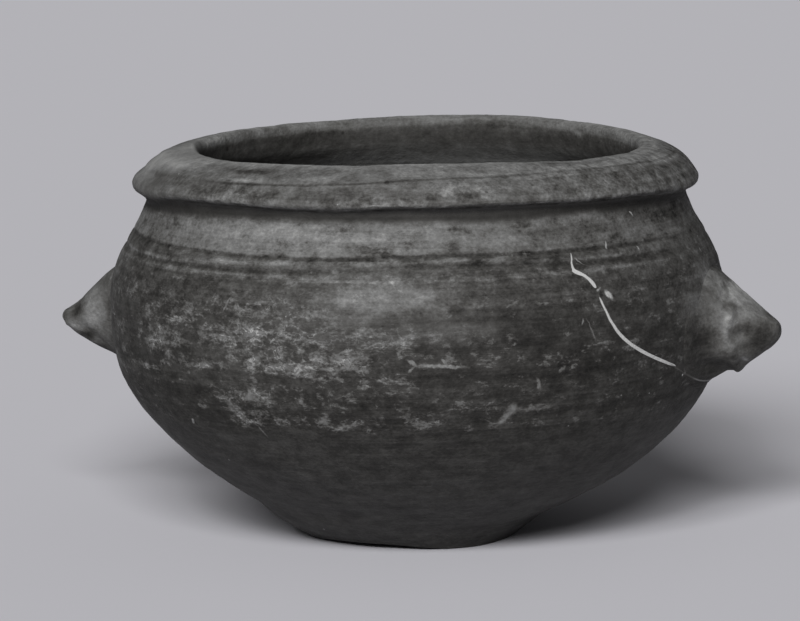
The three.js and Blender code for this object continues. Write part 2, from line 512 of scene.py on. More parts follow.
# Incised lines: height by azimuth, width and depth, in millimetres, and how much they darken the clay
grooves = {
    "upper": {"height": [
        (-200, 121.6), (-130, 121.6), (-100, 121.2), (-88, 121.4), (-74, 122.3), (-59, 122), (-40, 121.6),
        (-15, 121), (0, 121.2), (160, 121.6),
    ], "width": 1.5, "depth": 0.55, "shade": 0.075},
    "lower": {"height": [
        (-200, 116.6), (-135, 116.2), (-100, 116.6), (-66, 119.2), (-52, 118.2), (-34, 117), (-18, 116.9),
        (40, 117), (160, 116.6),
    ], "width": 1.7, "depth": 0.6, "shade": 0.06},
}
grooveFade = {"azimuth": (-28, -8, 140, 170), "share": 0.7}  # worn away on the right side


def cutGrooves(points, outside):
    azimuth = azimuthOf(points)
    cut = 0
    for line in grooves.values():
        away = points[:, 2] / mm - smoothThrough(line["height"])(azimuth)
        cut = cut + line["depth"] * np.exp(-(away / (line["width"] / 2)) ** 2)
    cut = cut * (1 - grooveFade["share"] * between(azimuth, grooveFade["azimuth"]))
    points[:, :2] *= (1 - cut * outside / np.maximum(radiusOf(points), mm))[:, None]
    return points


# The worn foot, by azimuth: how far its edge is lifted off the floor, and how far it spreads
foot = {
    "lift": [
        (-210, 0), (-150, 0), (-127, 1.5), (-110, 2.1), (-95, 2.2), (-80, 1.7), (-68, 0.8), (-52, 0),
        (150, 0),
    ],
    "spread": [(-210, 0), (-120, 0), (-85, 1.5), (-50, 4), (-20, 2), (15, 0), (150, 0)],
    "height": 12.0,
    "flatTo": 22.0,
    "edge": 2.0,
}


def wearFoot(points):
    azimuth = azimuthOf(points)
    radius = radiusOf(points)
    low = np.clip(1 - points[:, 2] / mm / foot["height"], 0, 1)
    edge = smoothStep(foot["flatTo"], float(outerRadius(0)) - foot["edge"], radius)
    spread = smoothThrough(foot["spread"])(azimuth) * low * low * edge
    points[:, :2] *= (1 + spread / np.maximum(radius, 1))[:, None]
    points[:, 2] += smoothThrough(foot["lift"])(azimuth) * low * edge * mm
    points[:, 2] = np.maximum(points[:, 2], 0)
    return points


# The pot's lean, for every turned piece alike
def settle(points):
    points[:, 0] += middleOffset(points[:, 2] / mm) * mm
    return points


turning = turningTree()

# Materials. Greys are written as the tone they show, 0 to 1, and a ramp turns a tone into a clay colour.
clayTint = {"dark": (1.06, 0.99, 0.88), "pale": (1.0, 1.0, 0.985), "paleFrom": 0.42, "stops": 12,
            "brightest": 0.9, "specular": 0.22}
# How rough each clay is, how deep its bump goes in millimetres, and how much of each pattern is in the bump
skin = {
    "wall": {"roughness": 0.84, "depth": 0.8, "streak": 0.5, "mottle": 0.6, "grain": 0.3, "flake": 0.25},
    "foot": {"height": (60, 50), "smoother": 0.1},
    "rim": {"roughness": 0.84, "uneven": 0.1, "depth": 0.9, "coarse": 0.9, "mottle": 0.4, "grain": 0.3},
    "lug": {"roughness": 0.86, "uneven": 0.1, "depth": 1.0, "smear": 0.6, "mottle": 0.7, "grain": 0.3},
}
frontAzimuth = -75  # the side the camera sees; azimuths in the materials run 180 to either side of it
turnSpan = (frontAzimuth - 180, frontAzimuth + 180)
wallArc = 2.05  # millimetres to a degree round the belly
rimArc = 1.8
# Patterns in the clay: repeats to a metre along each axis, detail, roughness and distortion
patterns = {
    "warp": ((120, 120, 120), 4, 0.65, 0.0),
    "streak": ((9, 9, 430), 4, 0.62, 0.0),
    "fineStreak": ((30, 30, 1000), 2, 0.5, 0.0),
    "mottle": ((115, 115, 185), 6, 0.74, 0.0),
    "grain": ((700, 700, 900), 2, 0.6, 0.0),
    "flake": ((165, 165, 290), 6, 0.7, 0.25),
    "vein": ((120, 120, 210), 4, 0.6, 0.6),
    "fray": ((620, 620, 620), 3, 0.6, 0.0),
    "coarse": ((165, 165, 165), 4, 0.72, 0.0),
    "smear": ((105, 105, 130), 5, 0.7, 0.6),
}


def toneStops():
    stops = []
    for i in range(clayTint["stops"]):
        tone = clayTint["brightest"] * i / (clayTint["stops"] - 1)
        grey = tone / 12.92 if tone <= 0.04045 else ((tone + 0.055) / 1.055) ** 2.4  # sRGB to linear
        share = min(tone / clayTint["paleFrom"], 1)
        tint = [d + (p - d) * share for d, p in zip(clayTint["dark"], clayTint["pale"])]
        stops.append((tone, tuple(grey * t for t in tint)))
    return stops


def finishClay(material, start, shader, tone, roughness, height, depth):
    ramp = start.node("ShaderNodeValToRGB", {"stops": toneStops()}, {"Fac": tone})
    bump = start.node("ShaderNodeBump", {}, {"Height": height, "Distance": depth * mm, "Strength": 1.0},
                      "Normal")
    for wire, name in ((ramp, "Base Color"), (roughness, "Roughness"), (bump, "Normal")):
        material.node_tree.links.new(wire.socket, shader.inputs[name])
    shader.inputs["Specular IOR Level"].default_value = clayTint["specular"]
    return material


# A pattern's value at a place, from about -0.5 to 0.5; as a colour it has three, one to an axis
def pattern(place, name, output=0):
    stretch, detail, roughness, distortion = patterns[name]
    return (place * stretch).noise(1, detail, roughness, distortion, output) - 0.5


# Patterns added up, each times the amount that the settings give under its name
def blend(amounts, **waves):
    parts = [wave * amounts[name] for name, wave in waves.items()]
    return sum(parts[1:], parts[0])


# What the patterns are placed by: the place itself, azimuth, height, and both laid flat in millimetres
def surfaceOf(start):
    place = start.node("ShaderNodeTexCoord", {}, {}, "Object")
    aside = place.spun(math.radians(-frontAzimuth))
    turned = start.node("ShaderNodeMath", {"operation": "ARCTAN2"}, {0: aside.part("Y"), 1: aside.part("X")})
    azimuth = turned * (180 / math.pi) + frontAzimuth
    height = place.part("Z") * 1000
    return place, azimuth, height, start.vector(X=azimuth * wallArc, Y=height)


def storedShare(start, name):
    return start.node("ShaderNodeAttribute", {"attribute_name": name}, {}, "Fac")


# 1 in the middle of an oval, 0 outside it: its middle, half length, half width and tilt
def oval(flat, x, y, halfLength, halfWidth, tilt=0.0, core=0.0):
    away = flat - (x, y, 0)
    if tilt:
        away = away.spun(math.radians(-tilt))
    return (away * (1 / halfLength, 1 / halfWidth, 0)).reach().ease(1.0, core)


# Ovals of a list, (azimuth, level, half width in degrees, half height, amount), on a flat of that scale
def ovalsOf(flat, patches, scaleX, scaleY, core=0.0):
    for at, level, halfTurn, halfHeight, amount in patches:
        here = oval(flat, at * scaleX, level * scaleY, halfTurn * scaleX, halfHeight * scaleY, core=core)
        yield here * amount


def strongest(ovals):
    most = next(ovals)
    for one in ovals:
        most = most.most(one)
    return most


# A table's curve, read at a value between low and high; the table's own values lie between least and most
def curveBetween(wire, points, low, high, least, most):
    level = wire.curve([(x, (y - least) / (most - least)) for x, y in points], low, high)
    return level * (most - least) + least


# The same by azimuth, right round the pot
def curveRound(azimuth, points, least, most):
    return curveBetween(azimuth, points, *turnSpan, least, most)


# 1 where a mask is 1, and this least where it is 0
def atLeast(mask, least):
    return mask * (1 - least) + least


# The bare wall: tone by height, soft patches (azimuth, height, half width in degrees, half height, change),
# and how strong each pattern is
wallTone = {
    "byHeight": [
        (0, 0.178), (8, 0.185), (18, 0.199), (30, 0.195), (42, 0.183), (52, 0.177), (62, 0.172),
        (74, 0.176), (84, 0.186), (95, 0.204), (105, 0.21), (112, 0.235), (117, 0.255), (121, 0.265),
        (129, 0.275), (136, 0.27),
    ],
    "span": (0, 136),
    # The darkening patches at azimuths -24 to -10 and heights 128 to 131 are painted shade: the rim's shadow
    # on the right
    "patches": [
        (-82, 110, 20, 13, 0.15), (-96, 104, 22, 12, 0.06), (-105, 119, 34, 7, 0.04),
        (-104, 129, 34, 8, 0.1), (-80, 129, 22, 6, 0.03), (-37, 127, 28, 9, -0.06),
        (-12, 130, 18, 6, -0.09), (-155, 72, 10, 10, 0.06), (-74, 106, 16, 9, 0.05),
        (-42, 80, 12, 12, -0.035), (-55, 95, 10, 14, -0.03), (-135, 14, 20, 8, -0.025),
        (-80, 95, 28, 9, 0.07), (-104, 84, 30, 24, 0.03), (-147, 121, 15, 9, -0.005),
        (-10, 128, 16, 8, -0.04), (-12, 118, 12, 7, 0.05), (-42.5, 118.3, 4.5, 2.6, -0.05),
        (-148, 73, 16, 10, 0.03), (-84, 105, 18, 8, 0.045), (-70, 118, 10, 3, 0.04),
        (-38, 80, 10, 9, -0.025), (-65, 91, 8, 8, -0.03), (-150, 42, 10, 18, 0.03), (-9, 97, 6, 10, 0.05),
        (-14, 95, 7, 8, 0.05), (-6, 108, 7, 6, 0.1), (-11, 104, 6, 4, 0.07), (-10, 83, 7, 5, -0.07),
        (2, 112, 7, 12, 0.05), (0, 70, 8, 8, 0.03), (-46, 114.4, 12, 2, -0.04), (-157, 112, 8, 12, 0.04),
        (-76, 120, 12, 3, 0.035), (-24, 131, 7, 4, -0.05), (-106, 109, 14, 6, 0.03), (-146, 90, 6, 4, 0.05),
        (-66, 109, 5, 8, 0.04), (-3, 76, 9, 6, 0.03), (-105, 50, 12, 2, 0.03), (-118, 52, 6, 3, 0.03),
        (-28, 121, 18, 6, 0.02), (-166, 90, 26, 60, 0.1), (-152, 45, 14, 26, 0.085), (-8, 50, 34, 40, 0.03),
        (-12, 94, 9, 14, 0.07), (-5, 104, 8, 7, 0.17), (-16, 98, 5, 3, 0.06), (-74, 24, 30, 12, 0.01),
        (-50, 86, 14, 26, -0.03), (-30, 92, 18, 20, -0.025), (-66, 98, 12, 10, 0.03),
        (-62, 116, 12, 4, -0.03), (-40, 112, 18, 5, -0.02), (40, 100, 30, 20, 0.05), (80, 60, 40, 24, 0.04),
        (-225, 105, 26, 16, 0.08), (-240, 60, 30, 20, 0.03),
    ],
    "wander": (18, 11, 0),  # how far the warp moves a patch's edge, in millimetres
    "streak": 0.10,
    "fineStreak": 0.06,
    "mottle": 0.36,
    "grain": 0.13,
    "calm": {"height": (46, 63), "least": 0.85, "wander": 30},
    "livelier": [(98, 106, 0.45), (120, 124, 0.15)],  # from and to which height, and by how much
    "blotch": {"mottle": (-0.05, -0.14), "height": (117, 124), "depth": 0.06},
}
# Rows round the shoulder: the paler clay over the upper groove, two chalky rows, and the rim's painted shadow
# under it
rows = {
    "span": (110, 130),
    "waver": 4,  # how far the warp moves the rows, in millimetres
    "step": 0.085,
    "stepEdge": (0.3, 1.6),
    "stepLeast": 0.25,
    "grooveLeast": 0.4,
    "seen": (-6, -26),  # the lines come out between these azimuths
    "middle": [
        (-255, 118.5), (-131, 117.4), (-113, 119.1), (-94, 119.7), (-71, 120.6), (-51, 118.8), (-27, 118.9),
        (105, 118.9),
    ],
    "low": [(-255, 114.4), (-130, 114.5), (-105, 114.4), (-85, 114.1), (-50, 114.3), (105, 114.6)],
    "edge": (1.4, 0.2),
    "chalk": 0.13,
    "chalkSeen": (-12, -32),
    "chalkLeast": 0.55,
    "chalkBreaks": {"mottle": 3, "streak": 2},
    # Painted shade: the rim's shadow on the neck as a dark band, with its foot by azimuth, its tone and
    # mottle, and a lift that lightens it nearer the rim
    "underRimShadeFoot": [
        (-255, 133), (-165, 131.2), (-150, 131.4), (-134, 132.8), (-124, 133.6), (-112, 134.5),
        (-72, 134.6), (-60, 133.6), (-40, 134.2), (-28, 133.2), (-10, 132.8), (60, 133.2), (105, 133),
    ],
    "underRimShadeSpan": (128, 138),
    "underRimShadeEdge": (-1.6, 1.8),
    "underRimShadeWaver": 2,
    "underRimShadeTone": 0.165,
    "underRimShadeMottle": 0.14,
    "underRimShadeLift": {"height": (135.5, 139.5), "gain": 0.14},
}
# The lime crust: where it is dense (azimuth, height, half width in degrees, half height, amount)
crust = {
    "patches": [
        (-103, 93, 26, 10, 1.05), (-82, 92, 17, 8, 0.75), (-100, 83, 22, 7, 0.95), (-86, 79, 16, 6, 0.65),
        (-120, 81, 14, 4, 0.7), (-129, 88, 11, 7, 1), (-153, 93, 7, 4, 1), (-147, 88, 6, 4, 0.85),
        (-108, 69, 13, 10, 0.75), (-92, 71, 24, 6, 0.55), (-108, 61, 11, 5, 1), (-86, 86, 10, 5, 0.9),
        (-95, 60.5, 24, 3.8, 0.9), (-78, 61.5, 14, 3.4, 0.65), (-70, 67, 20, 5, 0.3), (-55, 64, 18, 4, 0.3),
        (-104, 102, 24, 9, 0.7), (-136, 76, 10, 4, 0.6), (-126, 98, 18, 10, 0.6), (-64, 89, 16, 10, 0.15),
        (-50, 79, 12, 9, 0.2), (-143, 104, 14, 7, 0.5), (-150, 78, 12, 12, 0.4), (-30, 88, 20, 20, 0.1),
        (-84, 112, 26, 10, 0.4), (-90, 128, 50, 6, 0.12), (28, 84, 18, 16, 0.6), (66, 74, 26, 12, 0.75),
        (92, 95, 18, 12, 0.5), (-205, 72, 22, 14, 0.7), (-238, 90, 22, 14, 0.7),
    ],
    "core": 0.15,
    "foot": (56.4, 58.0),  # it ends between these heights
    "under": 0.1,  # and this share of it is left below them
    "gain": 0.14,
    "mottle": 0.2,
    "streak": 0.22,
    "least": 0.1,  # flakes show where all of these come to more
    "tone": 0.4,
    "edge": (-0.03, 0.05),
    "cover": 0.72,
    "bright": 0.52,
    "brightEdge": (0.04, 0.15),
    "brightCover": 0.42,
    "vein": 0.18,
    "veinEdge": (0.03, 0.008),
}
# Chalky scratches and strokes: azimuth, height, half length, half width, tilt, tone
strokes = [
    (-42.7, 117.6, 2.5, 0.22, -28, 0.5), (-40, 107.4, 1.4, 0.35, 15, 0.5),
    (-37.8, 105.1, 2.4, 0.85, -50, 0.7), (-39.6, 105.6, 0.9, 0.9, 0, 0.1),
    (-44.2, 96.3, 1.3, 0.35, 72, 0.46), (-42.4, 92.8, 5.2, 0.26, -65, 0.36),
    (-70.9, 82.8, 9.6, 0.6, -5, 0.47), (-76.2, 84.4, 2.3, 0.55, -32, 0.45),
    (-76.4, 82.2, 1.8, 0.45, 50, 0.42), (-70.6, 84.5, 1.9, 0.45, -42, 0.42),
    (-58.8, 62.8, 5.4, 1, 50, 0.42), (-57.8, 65.2, 2.4, 1.7, 60, 0.4), (-53.4, 64.7, 8, 0.5, 3, 0.33),
    (-53, 74.3, 2.6, 0.6, -72, 0.4), (-48.5, 79.3, 2.2, 0.45, 42, 0.36), (-125.6, 56.5, 1.9, 0.5, 35, 0.5),
    (-25, 132, 2, 0.4, -50, 0.6), (-26.6, 119.8, 1, 0.35, -50, 0.55), (-34.9, 122.4, 1.5, 0.4, 85, 0.6),
    (-3.6, 113.8, 0.7, 0.7, 0, 0.5), (-40, 114.6, 3.4, 0.5, 4, 0.34), (-112, 104, 3.4, 0.35, 62, 0.4),
    (-107, 55.8, 3, 0.3, -60, 0.33), (61, 96, 6, 0.6, 24, 0.4),
]
strokeGrowth = {"length": 1.25, "width": 1.7, "core": 0.35, "cover": 0.9, "warp": (2.2, 2.2, 0),
                "fray": (1.6, 1.6, 0), "uneven": 0.4}
# The long curved scratch: azimuth and half its breadth, sideways, by height
scratch = {
    "azimuth": [
        (73.6, -19.4), (77.8, -25.2), (82.6, -30.6), (88.5, -35.2), (94.5, -37.8), (99.5, -39.1),
        (104.5, -40.1), (108.1, -40.7), (111.2, -41.6), (112.6, -42.4), (113.7, -43.5), (115.2, -44.4),
        (118, -44.2), (121, -43.9),
    ],
    "breadth": [
        (72.4, -1), (73.6, 0.2), (75.5, 1.7), (80, 1.6), (85, 1.25), (91, 0.85), (97, 0.6), (103, 0.45),
        (104.6, 0.1), (105.2, -1), (107.2, -1), (108, 0.4), (109.5, 0.9), (112.4, 1), (113.7, 1.6),
        (115, 0.8), (116.2, 0.45), (118.5, 0.35), (120.6, 0.2), (121.4, -1),
    ],
    "span": (70, 125),
    "blur": 0.25,
    "tone": 0.72,
    "ragged": 0.8,
}
# The scratch's faint tail: height by azimuth, the span that its table lies in, and azimuths where it starts,
# ends and turns brighter
tail = {
    "height": [(-21, 74.6), (-15, 69.4), (-11, 66.3), (-6.6, 64.2), (-3, 63.2), (0.8, 61.9)],
    "span": (-30, 10, 60, 80),
    "width": (0.45, 0.12),
    "starts": (-21.5, -20.5),
    "ends": (2.5, 1.0),
    "brightens": (-13, -10),
    "cover": 0.5,
    "moreCover": 0.4,
    "tone": 0.36,
    "glow": 0.12,
}
# Specks and pits, at most one of each to a cell: cells to a metre, which cells have a speck, and sizes, as a
# gain on the cell's own share and a least size
specks = {
    "size": (0.035, 0.025),
    "tone": (0.3, 0.15),
    "edge": (1.2, 0.6),
    "pitEdge": (1.1, 0.6),
    "pitPicked": (0.6, 0.64),
    "noSpeck": (0.64, 0.6),
    "wall": {"cells": 115, "picked": (0.74, 0.8), "pitSize": (0.05, 0.03), "pitDepth": 0.06, "apart": False},
    "rim": {"cells": 140, "picked": (0.66, 0.72), "pitSize": (0.12, 0.06), "pitDepth": 0.1, "apart": True},
}
# The hollow side: its tone, painted light that makes it paler towards the mouth, and two soft patches of
# painted light (azimuth, height, half length, half height, core, change)
hollow = {
    "tone": 0.29,
    "mottle": 0.26,
    "streak": 0.1,
    "grain": 0.08,
    "paler": (80, 128),  # from and to which height
    "palerBy": 0.2,
    "paintedLightPatches": [(-212, 126, 70, 26, 0.0, 0.26), (-182, 116, 84, 24, 0.5, 0.2)],
    "calm": 0.8,
}


# The clay of the wall without its crust and marks, and the patterns it is made with
def wallGround(place, azimuth, height, flat):
    warp = pattern(place, "warp", "Color")
    rough = flat + warp * wallTone["wander"]
    tone = (height * 0.6 + rough.part("Y") * 0.4).curve(wallTone["byHeight"], *wallTone["span"])
    for change in ovalsOf(rough, wallTone["patches"], wallArc, 1):
        tone = tone + change
    streak, mottle, grain = (pattern(place, name) for name in ("streak", "mottle", "grain"))
    fineStreak = pattern(place, "fineStreak")
    change = blend(wallTone, streak=streak, fineStreak=fineStreak, mottle=mottle, grain=grain)
    calm = wallTone["calm"]
    lively = atLeast((height + warp.part("X") * calm["wander"]).ease(*calm["height"]), calm["least"])
    for low, high, gain in wallTone["livelier"]:
        lively = lively + height.ease(low, high) * gain
    blotch = wallTone["blotch"]
    dark = mottle.ease(*blotch["mottle"]) * height.ease(*blotch["height"]) * blotch["depth"]
    tone = tone + change * lively - dark

    wavy = height + warp.part("Y") * rows["waver"]
    seen = azimuth.ease(*rows["seen"])
    upper = curveRound(azimuth, grooves["upper"]["height"], *rows["span"])
    tone = tone + (wavy - upper).ease(*rows["stepEdge"]) * atLeast(seen, rows["stepLeast"]) * rows["step"]
    for line in grooves.values():
        level = curveRound(azimuth, line["height"], *rows["span"])
        near = (height + warp.part("Z") * 1.5 - level).size().ease(line["width"] * 0.8, 0.1)
        tone = tone - near * atLeast(seen, rows["grooveLeast"]) * line["shade"]
    for name in ("middle", "low"):
        near = (wavy - curveRound(azimuth, rows[name], *rows["span"])).size().ease(*rows["edge"])
        chalk = near * (blend(rows["chalkBreaks"], mottle=mottle, streak=streak) + rows["chalkLeast"])
        tone = tone + chalk * rows["chalk"] * azimuth.ease(*rows["chalkSeen"])
    # Painted shade: the rim's cast shadow, a dark band from its wavy foot up to the rim, lighter nearer the
    # rim
    underRimShadeFoot = curveRound(azimuth, rows["underRimShadeFoot"], *rows["underRimShadeSpan"])
    underRimShade = (height + warp.part("Z") * rows["underRimShadeWaver"] - underRimShadeFoot).ease(*rows["underRimShadeEdge"])
    lift = height.ease(*rows["underRimShadeLift"]["height"]) * rows["underRimShadeLift"]["gain"]
    tone = tone.over(mottle * rows["underRimShadeMottle"] + lift + rows["underRimShadeTone"], underRimShade)
    return tone, warp, streak, mottle, grain


# The lime crust in flakes and veins; its flakes are given back for the bump
def layCrust(tone, place, height, rough, warp, streak, mottle, grain):
    density = strongest(ovalsOf(rough, crust["patches"], wallArc, 1, crust["core"]))
    above = atLeast((height + warp.part("X") * 6).ease(*crust["foot"]), crust["under"])
    flake = pattern(place, "flake")
    over = flake + mottle * crust["mottle"] + streak * crust["streak"]
    over = over + density * crust["gain"] - crust["least"]
    worn = (mottle * 3 + grain * 2 + 0.75).least(1.0).most(0.2) * above
    tone = tone.over(crust["tone"], over.ease(*crust["edge"]) * worn * crust["cover"])
    tone = tone.over(crust["bright"], over.ease(*crust["brightEdge"]) * worn * crust["brightCover"])
    vein = pattern(place, "vein").size().ease(*crust["veinEdge"]) * (density * 1.2)
    return tone + vein * (mottle * 5 + 0.5).least(1.0).most(0.0) * above * crust["vein"], flake


def drawStrokes(tone, place, flat, warp):
    fray = pattern(place, "fray", "Color")
    wobble = flat + warp * strokeGrowth["warp"] + fray * strokeGrowth["fray"]
    for at, level, halfLength, halfWidth, tilt, mark in strokes:
        cover = oval(wobble, at * wallArc, level, halfLength * strokeGrowth["length"],
                     halfWidth * strokeGrowth["width"], tilt, strokeGrowth["core"])
        tone = tone.over(fray.part("X") * strokeGrowth["uneven"] + mark, cover * strokeGrowth["cover"])
    return tone


def drawScratch(tone, azimuth, height, mottle):
    centre = curveBetween(height, scratch["azimuth"], *scratch["span"], -50, 0)
    breadth = curveBetween(height, scratch["breadth"], *scratch["span"], -1, 2)
    past = (azimuth - centre).size() * wallArc - breadth + mottle * scratch["ragged"]
    return tone.over(scratch["tone"], past.ease(scratch["blur"], -scratch["blur"]))


def drawTail(tone, azimuth, height):
    end = azimuth.ease(*tail["brightens"])
    level = curveBetween(azimuth, tail["height"], *tail["span"])
    cover = (height - level).size().ease(*tail["width"])
    cover = cover * azimuth.ease(*tail["starts"]) * azimuth.ease(*tail["ends"])
    cover = cover * (end * tail["moreCover"] + tail["cover"])
    return tone.over(end * tail["glow"] + tail["tone"], cover)


# Pale specks and dark pits over a surface
def specksOf(start, place, kind):
    cell = start.node("ShaderNodeTexVoronoi", {"feature": "F1"}, {"Vector": place, "Scale": kind["cells"]})
    pick = cell.other("Color")
    size = pick.part("Z")

    def sized(gain, least):
        return size * gain + least

    speck = (cell / sized(*specks["size"])).ease(*specks["edge"]) * pick.part("X").ease(*kind["picked"])
    pit = (cell / sized(*kind["pitSize"])).ease(*specks["pitEdge"])
    pit = pit * pick.part("Y").ease(*specks["pitPicked"])
    if kind["apart"]:
        pit = pit * pick.part("X").ease(*specks["noSpeck"])  # no pit in a cell that has a speck
    return speck * sized(*specks["tone"]), pit * kind["pitDepth"]


def wallClay():
    material, start, shader = newMaterial("fired wall clay")
    place, azimuth, height, flat = surfaceOf(start)
    tone, warp, streak, mottle, grain = wallGround(place, azimuth, height, flat)
    rough = flat + warp * wallTone["wander"]
    tone, flake = layCrust(tone, place, height, rough, warp, streak, mottle, grain)
    tone = drawStrokes(tone, place, flat, warp)
    tone = drawScratch(tone, azimuth, height, mottle)
    tone = drawTail(tone, azimuth, height)
    speck, pit = specksOf(start, place, specks["wall"])
    inner = storedShare(start, "inner").ease(0.4, 0.6)
    inside = blend(hollow, mottle=mottle, streak=streak, grain=grain)
    # Painted light inside: paler towards the mouth, and two soft pale patches where the hollow lies in shade
    inside = inside + hollow["tone"] + height.ease(*hollow["paler"]) * hollow["palerBy"]
    for at, level, halfLength, halfHeight, core, change in hollow["paintedLightPatches"]:
        inside = inside + oval(rough, at * wallArc, level, halfLength, halfHeight, core=core) * change
    tone = (tone - pit).over(inside, inner) + speck
    own, low = skin["wall"], skin["foot"]
    relief = blend(own, streak=streak, mottle=mottle, grain=grain, flake=flake) * (1 - inner * hollow["calm"])
    roughness = own["roughness"] - height.ease(*low["height"]) * low["smoother"]
    return finishClay(material, start, shader, tone, roughness, relief, own["depth"])


# The rim: tone by place along the section, ovals (azimuth, place, half width in degrees, half height in
# section points, change), how lively it is by azimuth, rough spots, and the dark line round it by azimuth
rimTone = {
    "bySection": [
        # Painted shade: the first, darkest points are the rim's underside over the neck, where it lies in
        # shadow
        (3.2, 0.18), (4, 0.265), (5.2, 0.32), (6.4, 0.325), (9, 0.33), (12, 0.35), (14.5, 0.4),
        (16.6, 0.44), (17.6, 0.49), (18.4, 0.5), (19.2, 0.43), (20.2, 0.39), (21.3, 0.36), (22, 0.25),
        (23.5, 0.235), (25, 0.31), (26.5, 0.42), (29, 0.49),
    ],
    "span": (3.2, 29),
    "patches": [
        (-158, 12, 16, 7, 0.22), (-123, 7.6, 20, 1.6, -0.05), (-160, 19.2, 12, 1.4, 0.14),
        (-222, 22, 18, 1.7, -0.08), (-185, 20.5, 14, 2, 0.18), (-213, 20.4, 7, 1.5, -0.07),
        (30, 20.5, 14, 1.5, 0.1), (12, 20.3, 12, 1.3, 0.1), (85, 21.2, 18, 1.3, -0.1),
        (90, 19.6, 20, 1.4, -0.04), (85, 23.5, 40, 1.6, -0.03), (-141, 14.2, 14, 3.8, 0.17),
        (-134, 16.5, 9, 2, 0.06), (-114, 14.8, 10, 1.1, -0.17), (-148, 10.8, 14, 0.7, -0.07),
        (-114, 12.6, 8, 0.9, 0.18), (-119, 7.6, 4, 0.9, 0.12), (-66, 11, 11, 2.6, 0.06),
        (-82, 7, 7, 0.6, 0.12), (-73, 18, 10, 0.7, 0.12), (-95, 9, 12, 3, -0.02), (-25, 10, 26, 5, -0.025),
        (-98, 13.5, 8, 1.2, 0.05), (-20, 16, 24, 3, 0.03), (131, 22.1, 3, 0.8, 0.2), (56, 22, 3, 0.8, 0.2),
        (118, 20.6, 12, 0.8, 0.08), (90, 20.4, 14, 0.7, 0.05), (60, 12, 24, 4, 0.06),
        (-200, 15, 18, 3, 0.08), (-230, 9, 20, 3, -0.05), (20, 8, 12, 3, -0.04),
    ],
    "wander": (9, 4.5, 0),
    "around": 0.24,
    "coarse": 0.4,
    "pocked": 0.5,
    "mottle": 0.28,
    "grain": 0.18,
    "lively": [
        (-255, 1), (-195, 1), (-170, 0.5), (-146, 0.5), (-130, 1), (-58, 1), (-38, 1.5), (20, 1.4), (60, 1),
        (105, 1),
    ],
    "rough": [
        (-114, 9, 14, 3, 1), (-66, 10.5, 12, 3.4, 1), (-84, 8, 14, 2.4, 1), (70, 10, 26, 5, 1),
        (-215, 11, 22, 5, 1),
    ],
    "line": [
        (-255, 12.5), (-150, 11), (-125, 11.2), (-104, 11.7), (-91, 12.2), (-76, 13.4), (-61, 13.9),
        (-43, 14.2), (-10, 14), (40, 13), (105, 12.5),
    ],
    "lineDepth": 0.1,
    "lineSeen": (-128, -118),
}


def rimClay():
    material, start, shader = newMaterial("rim clay")
    place, azimuth, height, flat = surfaceOf(start)
    wallPart, warp, streak, mottle, grain = wallGround(place, azimuth, height, flat)
    section = storedShare(start, "section")
    band = start.vector(X=azimuth * rimArc, Y=section * rimArc)
    rough = band + warp * rimTone["wander"]
    tone = (section * 0.6 + rough.part("Y") * (0.4 / rimArc)).curve(rimTone["bySection"], *rimTone["span"])
    for change in ovalsOf(rough, rimTone["patches"], rimArc, rimArc):
        tone = tone + change
    pocked = strongest(ovalsOf(rough, rimTone["rough"], rimArc, rimArc, 0.4))
    around = (band * (0.007, 0.26, 0)).noise(1, 3, 0.6) - 0.5
    coarse = pattern(place, "coarse")
    ragged = around * rimTone["around"] + coarse * (pocked * rimTone["pocked"] + rimTone["coarse"])
    ragged = ragged + mottle * rimTone["mottle"] + grain * rimTone["grain"]
    lively = curveRound(azimuth, rimTone["lively"], 0, 2)
    lively = lively * (1 - section.ease(16, 18) * 0.2) * (1 - section.ease(21, 23) * 0.3)
    tone = tone + ragged * lively
    line = (section - curveRound(azimuth, rimTone["line"], 10, 16)).size().ease(0.5, 0.05)
    tone = tone - line * rimTone["lineDepth"] * azimuth.ease(*rimTone["lineSeen"])
    tone = wallPart.over(tone, section.ease(3.0, 3.8))
    speck, pit = specksOf(start, place, specks["rim"])
    past = section.ease(4.4, 5.2)
    tone = tone + speck * past - pit * past
    own = skin["rim"]
    relief = blend(own, coarse=coarse, mottle=mottle, grain=grain) * (1 - section.ease(20, 23) * 0.65)
    roughness = own["roughness"] + mottle * own["uneven"]
    return finishClay(material, start, shader, tone, roughness, relief, own["depth"])


